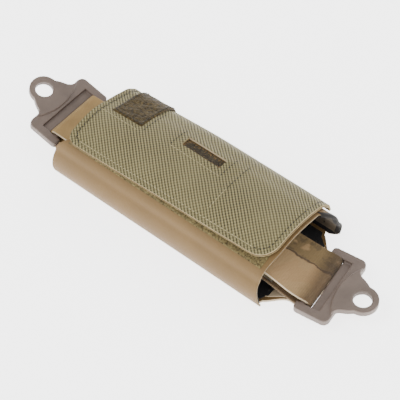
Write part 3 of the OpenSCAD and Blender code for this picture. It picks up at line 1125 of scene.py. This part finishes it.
@dataclass
class Flap:
    """The woven flap that rolls over the sleeve's far edge, with all that is sewn on it."""

    size: SleeveSize
    drape: Drape
    finishes: Finishes
    needle: Needle
    gap: float = 1.3
    lining: float = 0.4
    shell: float = 1.0
    left_inset: float = 3.6
    right_inset: float = 1.2
    near_left: float = 3.6
    near_right: float = 6.2
    left_radius: float = 4.5
    right_radius: float = 8.0
    window_length: float = 19.0
    window_width: float = 4.8
    window_x: float = 52.2
    window_y: float = 8.8
    patch_x: float = 9.4
    patch_length: float = 15.4
    patch_y: float = 3.4
    hook_ends: tuple[float, float] = (7.0, 9.0)
    hook_rows: tuple[float, float] = (1.6, 9.4)
    velvet_margin: float = 0.1
    seam_inset: float = 2.2
    hinge: tuple[float, float] = (24.94, 12.31)

    def __post_init__(self) -> None:
        """Works out the edges and the window in cut coordinates."""
        half = self.size.length / 2
        section = self.drape.section
        self.top = self.gap + self.lining + self.shell
        self.x0, self.x1 = -half + self.left_inset, half - self.right_inset
        self.last = section.anchor_end - 0.3
        base = -self.size.width / 2
        self.near = lambda x: section.s_of_y(
            base + self.near_left + (self.near_right - self.near_left)
            * (x - self.x0) / (self.x1 - self.x0), self.top)
        middle_s = float(section.s_of_y(np.array([self.window_y]), self.top)[0])
        middle_x = -half + self.window_x
        self.window = (middle_x - self.window_length / 2, middle_x + self.window_length / 2,
                       middle_s - self.window_width / 2, middle_s + self.window_width / 2)

    def lines(self, first: float, last: float, step: float, marks: Sequence[float]) -> Array:
        """Grid lines about a step apart that pass through every mark."""
        stops = sorted({first, last, *(m for m in marks if first < m < last)})
        parts = [np.linspace(a, b, max(1, int(round((b - a) / step))) + 1)[:-1]
                 for a, b in zip(stops, stops[1:])]
        return np.concatenate(parts + [[last]])

    def cut(self, inset: float, step: float, last: float, marked: bool) -> tuple[Array, Array]:
        """The flap's flat cut as a grid.

        Args:
            inset: How far its edge stays inside the shell's.
            step: Size of a face.
            last: Distance along the section where it ends.
            marked: Whether grid lines follow the window.

        Returns:
            x and s of every grid point, rows by columns.
        """
        x0, x1 = self.x0 + inset, self.x1 - inset
        columns = self.lines(x0, x1, step, self.window[:2] if marked else ())
        turn = np.linspace(0, math.pi / 2, 12)
        right_r, left_r = self.right_radius, self.left_radius
        near_rows = right_r * (1 - np.cos(turn))
        start = float(self.near(np.array([0.0]))[0]) + inset
        far_rows = self.lines(start + right_r, last, step, self.window[2:] if marked else ())[1:]
        x = np.zeros((len(near_rows) + len(far_rows), len(columns)))
        s = np.zeros_like(x)
        share = (columns - x0) / (x1 - x0)
        for j, t in enumerate(near_rows):
            right = right_r - math.sqrt(max(right_r ** 2 - (right_r - t) ** 2, 0))
            drop = max(left_r - t, 0)
            left = left_r - math.sqrt(max(left_r ** 2 - drop ** 2, 0))
            x[j] = columns + left * (1 - share) ** 6 - right * share ** 6
            s[j] = self.near(x[j]) + inset + t
        lean = s[len(near_rows) - 1] - start - right_r
        for j, level in enumerate(far_rows, len(near_rows)):
            keep = 1 - float(smoothstep(np.array([(level - far_rows[0]) / 6]))[0])
            x[j] = columns
            s[j] = level + lean * keep * (level < start + right_r + 6)
        return x, s

    def surface(self, lift: float) -> Surface:
        """The flap's outside at a lift over the section."""
        def lie(u: Array, v: Array) -> Array:
            """Presses the seams in and lets the edge lie down."""
            return self.drape.place(u, v, lift + self.relief(u, v))
        return lie

    def relief(self, u: Array, v: Array) -> Array:
        """How the sewn rows pull the cloth in and the pile below pushes it out."""
        near = self.near(u)
        edge = np.minimum.reduce([u - self.x0, self.x1 - u, v - near])
        seam = -0.22 * np.exp(-((edge - 2.2) / 0.8) ** 2)
        swell = 0.28 * smoothstep((edge - 3) / 7)
        wx0, wx1, ws0, ws1 = self.window
        window = np.maximum(np.abs(u - (wx0 + wx1) / 2) - (wx1 - wx0) / 2,
                            np.abs(v - (ws0 + ws1) / 2) - (ws1 - ws0) / 2)
        lip = 0.25 * np.exp(-(window / 1.6) ** 2)
        channel = -0.2 * np.exp(-((u - wx1 - 6.5) / 0.8) ** 2) * (v > ws0 - 7)
        hug = -0.7 * smoothstep((v - self.drape.section.roll + 5) / 6)
        return (seam + swell + lip + channel + hug) * smoothstep((self.drape.section.wall - v) / 4)

    def across_hinge(self, piece: Piece, *nodes: str) -> Piece:
        """Bakes a piece's place into its mesh and hides the CAD nodes that it stands for."""
        y, z = self.hinge
        start, end = (tuple(self.drape.flat(np.array([[0, y - k * 0.9, z + k * 2.6]]))[0])
                      for k in (-1, 1))
        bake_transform(piece.obj)
        return piece.mark(*nodes)

    def cloth(self) -> None:
        """The shell and its laminate lining."""
        f, section, (wx0, wx1, ws0, ws1) = self.finishes, self.drape.section, self.window
        wide, start = self.x1 - self.x0, float(self.near(np.array([0.0]))[0])
        obj = lay_grid("flap_shell_weave", *self.cut(0.0, 0.62, self.last, True), self.surface(self.top))
        remove_faces(obj, lambda m: wx0 < m.x < wx1 and ws0 < m.y < ws1)
        thicken(obj, (f.weave, f.cut_edge), self.shell - 0.1, 0.3, angle=50)
        length = section.run(start, self.last, self.top - self.shell / 2)
        self.across_hinge(Piece(obj, Body.FLAP, "flap_weave"), "flap_shell", "flap_anchor").sewn(
            (wide, length), Held.FOLDED, ["sleeve_laminate"], wide * length * 0.985)
        last, lift = section.wall - 0.6, self.gap + self.lining
        obj = lay_grid("flap_lining_laminate", *self.cut(-0.25, 1.0, last, False),
                       lambda u, v: self.drape.place(u, v, lift + self.relief(u, v) * 0.6))
        thicken(obj, (f.laminate, f.cut_edge), self.lining, 0.12, angle=50)
        self.across_hinge(Piece(obj, Body.FLAP, "outer_laminate"), "flap_lining").sewn(
            (wide + 0.5, section.run(start, last, self.gap)), Held.FOLDED, ["flap_shell_weave"])

    def hook(self) -> None:
        """The hook field under the flap's near edge."""
        top, (left, right), (first, last) = self.drape.section.top, self.hook_ends, self.hook_rows
        x = np.linspace(self.x0 + left, self.x1 - right, 141)
        s = np.linspace(top + first, top + last, 16)
        lumps = tufts(11, 0.04, x, s) * 0.3
        pad("flap_hook_tape", Body.FLAP, "hook_tape", ["flap_hook_field"], self.finishes.hook, 0.35,
            x, s, lambda u, v: self.drape.place(u, v, self.gap - 0.05 + lumps))

    def window_bed(self) -> None:
        """The velvet that shows through the window."""
        (wx0, wx1, ws0, ws1), margin = self.window, self.velvet_margin
        x = np.linspace(wx0 + margin, wx1 - margin, 61)
        s = np.linspace(ws0 + margin, ws1 - margin, 17)
        height = self.gap + self.lining + 0.3 + tufts(3, 0.06, x, s)
        pad("window_velvet", Body.FLAP, "brown_pile", ["window_pile"], self.finishes.window, 0.2,
            x, s, lambda u, v: self.drape.place(u, v, height))

    def patch(self) -> None:
        """The brown loop patch that lies over the roll."""
        x0, x1, s0 = self.patch_border
        x, s = np.linspace(x0, x1, 41), np.linspace(s0, self.drape.section.wall - 0.8, 61)
        height = tufts(5, 0.07, x, s)

        def lie(u: Array, v: Array) -> Array:
            """A proud pad with rounded borders, matted in streaks."""
            edge = from_border(x, s, u, v)
            streak = 0.06 * np.sin((u - v) * 0.9 + np.sin(v * 0.8)) * smoothstep(edge / 2)
            lift = self.top + 0.25 + 0.5 * smoothstep(edge / 0.9) + (height + streak) * (edge > 0.05)
            return self.drape.place(u, v, lift)

        pad("marker_patch_pile", Body.FLAP, "brown_pile", ["marker_patch"], self.finishes.brown_pile,
            0.32, x, s, lie)
        x0, x1, end = x0 + 1.0, x1 - 1.0, s[-1] - 0.5
        runs = [zigzag(np.array([[x1, s0 + 0.6], [x1, end]]), 1.0, 0.45),
                row((x0, s0 + 0.8), (x0, end), 1.6), row((x0, s0 + 1.0), (x1, s0 + 1.0), 1.6)]
        self.needle.sew("marker_patch_stitches", Body.FLAP, "dark_binding", self.finishes.dark_thread,
                        runs, lambda u, v, lift: self.drape.place(u, v, self.top + 0.82 + lift))

    @property
    def patch_border(self) -> tuple[float, float, float]:
        """Left, right and near border of the patch on the cut."""
        x0 = -self.size.length / 2 + self.patch_x
        s0 = float(self.drape.section.s_of_y(np.array([self.patch_y]), self.top)[0])
        return x0, x0 + self.patch_length, s0

    def on_shell(self, u: Array, v: Array, lift: Array) -> Array:
        """Places on the outside of the shell."""
        return self.drape.place(u, v, self.top + self.relief(u, v) + lift - 0.04)

    def stitches(self) -> None:
        """The rows that hold the flap's layers together."""
        inset, stop = self.seam_inset, self.drape.section.wall - 1.5
        x0, x1, bow = self.x0 + inset, self.x1 - inset, math.cos(math.pi / 4) - 1
        start = float(self.near(np.array([self.x0]))[0]) + inset
        radius = self.left_radius - inset + 1.2
        corner = arc((x0, start + radius), (x0 + radius, start), radius * bow, 10)
        left = np.concatenate([np.array([[x0, stop]]), corner])
        xs = np.linspace(x0 + radius, self.x1 - self.right_radius, 60)
        near = np.stack([xs, self.near(xs) + inset], axis=1)
        end, reach = near[-1], self.right_radius - inset
        bend = arc(end, (x1, end[1] + reach), reach * bow, 10)
        right = np.array([[x1, end[1] + reach], [x1, stop]])
        wx0, wx1, ws0, ws1 = self.window
        px0, px1, ps0 = self.patch_border
        dark = [along(bend, 1.7), along(right, 1.7),
                row((wx0 - 3.4, ws0 - 2.6), (wx0 - 3.4, ws1 + 3.4), 1.6),
                row((wx1 + 2.6, ws0 - 2.6), (wx1 + 2.6, ws1 + 3.4), 1.6),
                row((wx1 + 8.5, ws0 - 5.5), (wx1 + 8.5, ws1 + 3.6), 1.7),
                row((px1 + 1.7, ps0 - 1.0), (px1 + 1.7, ps0 + 13.0), 1.6)]
        pale = [row((px0 - 3.5, ps0 - 2.2), (px1 - 0.5, ps0 - 2.2), 1.7),
                row((wx0 - 3.4, ws0 - 3.0), (wx1 + 2.6, ws0 - 3.0), 1.7),
                row((wx1 + 8.5, ws0 - 16.0), (wx1 + 8.5, ws0 - 6.0), 1.7)]
        on_dark = ("dark_binding", self.finishes.dark_thread)
        on_khaki = ("flap_weave", self.finishes.khaki_thread)
        for name, look, runs, gap in (
                ("flap_left_zigzag", on_dark, [zigzag(left, 1.15, 0.6)], 0.1),
                ("flap_near_stitches", on_khaki, [along(near, 1.7)], 0.28),
                ("flap_row_stitches", on_dark, dark, 0.28),
                ("flap_pale_stitches", on_khaki, pale, 0.28)):
            self.needle.sew(name, Body.FLAP, *look, runs, self.on_shell, gap)

    def window_lip(self) -> None:
        """A rounded lip round the window's far side."""
        wx0, wx1, _, ws1 = self.window

        def lie(u: Array, v: Array) -> Array:
            """The lip's round section, along the window."""
            angle = (v - 0.5) * 2.4
            lift = self.top - 0.28 + 0.62 * np.cos(angle)
            return self.drape.place(u, ws1 + 0.12 + 0.34 * np.sin(angle), lift)

        pad("window_lip", Body.FLAP, "flap_weave", [], self.finishes.beige, 0.2,
            np.linspace(wx0, wx1, 41), np.linspace(0, 1, 9), lie)

    def build(self) -> None:
        """Builds and dresses the flap."""
        self.cloth()
        self.hook()
        self.window_bed()
        self.patch()
        self.stitches()
        self.window_lip()


# ---------------------------------------------------------------- straps


@dataclass
class StrapLoop:
    """Webbing folded round a plate's bar, its two legs held together inside the sleeve."""

    side: str
    body: Body
    finish: Material
    slot: str
    drape: Drape
    finishes: Finishes
    needle: Needle
    bar: tuple[float, float, float]
    yaw: float = 0.0
    rise: float = 0.0
    far_rise: float = 0.0
    width: float = 25.0
    thickness: float = 1.3
    leg: float = 38.8
    wrap: float = 1.75

    def local(self, along_: Array, across: Array, up: Array) -> Array:
        """Places in metres of points given about the bar, with the plate's side positive."""
        mirror = -1 if self.side == "left" else 1
        c, s = math.cos(math.radians(self.yaw)), math.sin(math.radians(self.yaw))
        x, y = along_ * c - across * s, along_ * s + across * c
        bx, by, bz = self.bar
        return self.drape.flat(np.stack([bx + mirror * x, by + y, bz + up], axis=1))

    def path(self, t: Array, lift: Array) -> tuple[Array, Array]:
        """The loop's middle line: top tail, round the bar, bottom tail.

        Args:
            t: Distance along the webbing from the top tail.
            lift: Distance outside the inner face.

        Returns:
            Places along the strap and up from the bar.
        """
        radius = self.wrap + self.thickness / 2
        half_turn = math.pi * radius
        angle = np.clip((t - self.leg) / radius, 0, math.pi)
        r = self.wrap + lift + 0.2 * np.sin(angle)
        x = np.where(t < self.leg, t - self.leg, np.where(t > self.leg + half_turn,
                     self.leg + half_turn - t, 0)) + r * np.sin(angle)
        return x, r * np.cos(angle)

    def climb(self, x: Array, v: Array) -> Array:
        """How far the strap rises towards the sleeve, more on one edge than on the other."""
        near = 0.5 - v / self.width
        return (self.rise * near + self.far_rise * (1 - near)) * smoothstep(-x / 24)

    def surface(self, t: Array, v: Array, lift: Array) -> Array:
        """Places of points on the webbing: t along it, v across it."""
        x, up = self.path(t, lift)
        upper = smoothstep((self.leg - t) / 4)
        climb = self.climb(x, v)
        wave = 0.18 * np.sin(x / 5 + v / 7) * smoothstep((-x - 3) / 6) * upper
        return self.local(x, v, up + climb + wave)

    def webbing(self) -> None:
        """The strap itself."""
        total = 2 * self.leg + math.pi * (self.wrap + self.thickness / 2)
        v = np.linspace(-self.width / 2, self.width / 2, 41)
        t = np.concatenate([np.linspace(0, self.leg - 1, 48)[:-1],
                            np.linspace(self.leg - 1, total - self.leg + 1, 25)[:-1],
                            np.linspace(total - self.leg + 1, total, 48)])
        obj = lay_grid(f"{self.side}_strap_webbing", t, v,
                       lambda a, b: self.surface(a, b, np.full_like(a, self.thickness - 0.05)))
        if self.side == "left":
            edit_all(obj, bpy.ops.mesh.flip_normals)
        thicken(obj, (self.finish, self.finishes.beige), self.thickness - 0.1, 0.3, angle=45)
        repaint(obj, 0, lambda a, b: a > self.leg + self.wrap)
        Piece(obj, self.body, self.slot).keep(f"{self.side}_strap")

    def pads(self) -> None:
        """Hook and loop pads between the legs."""
        x = np.linspace(-self.leg + 1, -self.leg + 25, 25)
        v = np.linspace(-self.width / 2 + 1, self.width / 2 - 1, 25)
        height, lumps = self.wrap - 0.25, tufts(21, 0.05, x, v)
        for kind, low, material, slot in (("hook", -self.wrap, self.finishes.hook, "hook_tape"),
                                          ("loop", 0.05, self.finishes.loop, "khaki_pile")):
            pad(f"{self.side}_{kind}_pad_pile", self.body, slot, [f"{self.side}_{kind}_pad"], material,
                height - 0.1, x, v,
                lambda a, b: self.local(a, b, low + height + lumps + self.climb(a, b)),
                flip=self.side == "left")

    def tack(self) -> None:
        """Box stitching through the legs inside the sleeve."""
        a, b, w = 3.0, 15.0, self.width / 2 - 2.5
        runs = [row((a, -w), (b, -w), 1.8), row((a, w), (b, w), 1.8), row((a, -w), (a, w), 1.8),
                row((b, -w), (b, w), 1.8), row((a, -w), (b, w), 1.8), row((b, -w), (a, w), 1.8)]
        self.needle.sew(f"{self.side}_strap_box_stitches", self.body, self.slot,
                        self.finishes.tan_thread, runs,
                        lambda u, v, lift: self.surface(u, v, self.thickness - 0.1 + lift))

    def build(self) -> None:
        """Builds and dresses the strap."""
        self.webbing()
        self.pads()
        self.tack()


# ---------------------------------------------------------------- plates


@dataclass
class MountingPlate:
    """A moulded plate: the CAD shape with its edges rounded as a mould leaves them."""

    side: str
    body: Body
    finish: Material
    voxel: float = 0.24
    smoothing: int = 6

    def build(self) -> None:
        """Copies the CAD shape, rounds it and dresses it."""
        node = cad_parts[f"{self.side}_mount_plate"]
        obj = new_object(f"{self.side}_moulded_plate", node.data.copy())
        edit_all(obj, lambda: bpy.ops.mesh.remove_doubles(threshold=1e-6))
        remesh = obj.modifiers.new("skin", "REMESH")
        remesh.mode = "VOXEL"
        remesh.voxel_size = self.voxel * MM
        smooth = obj.modifiers.new("soft_edges", "SMOOTH")
        smooth.factor = 0.5
        smooth.iterations = self.smoothing
        apply_all(obj)
        shade(obj, 60)
        dress(obj, self.finish)
        Piece(obj, self.body, "plate_polymer").keep(f"{self.side}_mount_plate")


# ---------------------------------------------------------------- studio


@dataclass(frozen=True)
class Studio:
    """Pale floor, soft lights and the camera."""

    azimuth: float = 39.29
    elevation: float = 52.0
    distance: float = 594.9
    lens: float = 135.0
    sensor: float = 36.0
    floor_glow: float = 3.0
    sky_glow: float = 0.55
    lamps: tuple = (("key_light", (-0.35, -0.55, 0.95), 0.7, 9), ("fill_light", (0.8, 0.1, 0.7), 0.9, 3.5),
                    ("rim_light", (0.0, 0.8, 0.7), 0.7, 3.5))
    off_right: float = 1.38
    off_up: float = 1.2

    def axes(self) -> tuple[Vector, Vector, Vector]:
        """The camera's right, up and back directions."""
        a, e = math.radians(self.azimuth), math.radians(self.elevation)
        back = Vector((math.sin(a) * math.cos(e), -math.cos(a) * math.cos(e), math.sin(e)))
        right = Vector((math.cos(a), math.sin(a), 0))
        return right, back.cross(right), back

    def camera(self) -> None:
        """The scene's camera."""
        right, up, back = self.axes()
        data = bpy.data.cameras.new("camera")
        data.lens, data.sensor_width = self.lens, self.sensor
        data.clip_start, data.clip_end = 0.01, 20
        obj = new_object("camera", data)
        turn = Matrix((right, up, back)).transposed().to_4x4()
        place = (back * self.distance + right * self.off_right + up * self.off_up) * MM
        obj.matrix_world = Matrix.Translation(place) @ turn
        bpy.context.scene.camera = obj

    def lamp(self, name: str, place: tuple[float, float, float], size: float, watts: float) -> None:
        """A square soft light that faces the object."""
        data = bpy.data.lights.new(name, "AREA")
        data.size, data.energy = size, watts
        obj, away = new_object(name, data), Vector(place)
        obj.matrix_world = Matrix.Translation(away) @ away.to_track_quat("Z", "Y").to_matrix().to_4x4()

    def floor(self) -> None:
        """A pale floor with a soft upturned edge far behind."""
        deselect()
        bpy.ops.mesh.primitive_grid_add(x_subdivisions=24, y_subdivisions=24, size=6)
        obj = bpy.context.object
        obj.name = "studio_floor"
        for vertex in obj.data.vertices:
            reach = max(0.0, vertex.co.length - 1.6)
            vertex.co.z = -0.0004 + 0.35 * reach * reach
        n = Nodes("pale_floor")
        grain = n.noise(n.solid(), 60, 2)
        tone = n.mix(n.span(grain, 0.3, 0.7), (0.93, 0.93, 0.93, 1), (0.9, 0.9, 0.9, 1))
        n.shader.inputs["Emission Color"].default_value = (1, 1, 1, 1)
        n.shader.inputs["Emission Strength"].default_value = self.floor_glow
        dress(obj, n.finish(tone, 0.9, None, gloss=0.1))
        shade(obj, 60)

    def light(self) -> None:
        """Soft light from above with a gentle side."""
        world = bpy.data.worlds.new("studio")
        world.use_nodes = True
        sky = world.node_tree.nodes["Background"].inputs
        sky["Color"].default_value = (1, 1, 1, 1)
        sky["Strength"].default_value = self.sky_glow
        bpy.context.scene.world = world
        for name, place, size, watts in self.lamps:
            self.lamp(name, place, size, watts)

    def build(self) -> None:
        """Sets up the studio."""
        self.camera()
        self.floor()
        self.light()


def main() -> None:
    """Builds the pieces in order."""
    logging.basicConfig(level=logging.INFO, format="%(message)s")
    Studio().build()
    finishes = Finishes()
    size = SleeveSize()
    drape = Drape(size)
    needle = Needle()
    Sleeve(size, drape, finishes, needle).build()
    Flap(size, drape, finishes, needle).build()
    half = size.length / 2
    StrapLoop("left", Body.LEFT_STRAP, finishes.tan_webbing, "tan_webbing", drape, finishes, needle,
              bar=(-half - 8.0, 0.0, 6.0)).build()
    StrapLoop("right", Body.RIGHT_STRAP, finishes.camouflage, "camouflage_webbing", drape, finishes,
              needle, bar=(half + 13.7, -1.4, 5.0), yaw=7.0, rise=6.5, far_rise=3.2).build()
    MountingPlate("left", Body.LEFT_PLATE, finishes.polymer).build()
    MountingPlate("right", Body.RIGHT_PLATE, finishes.polymer).build()


if __name__ == "__main__":
    main()
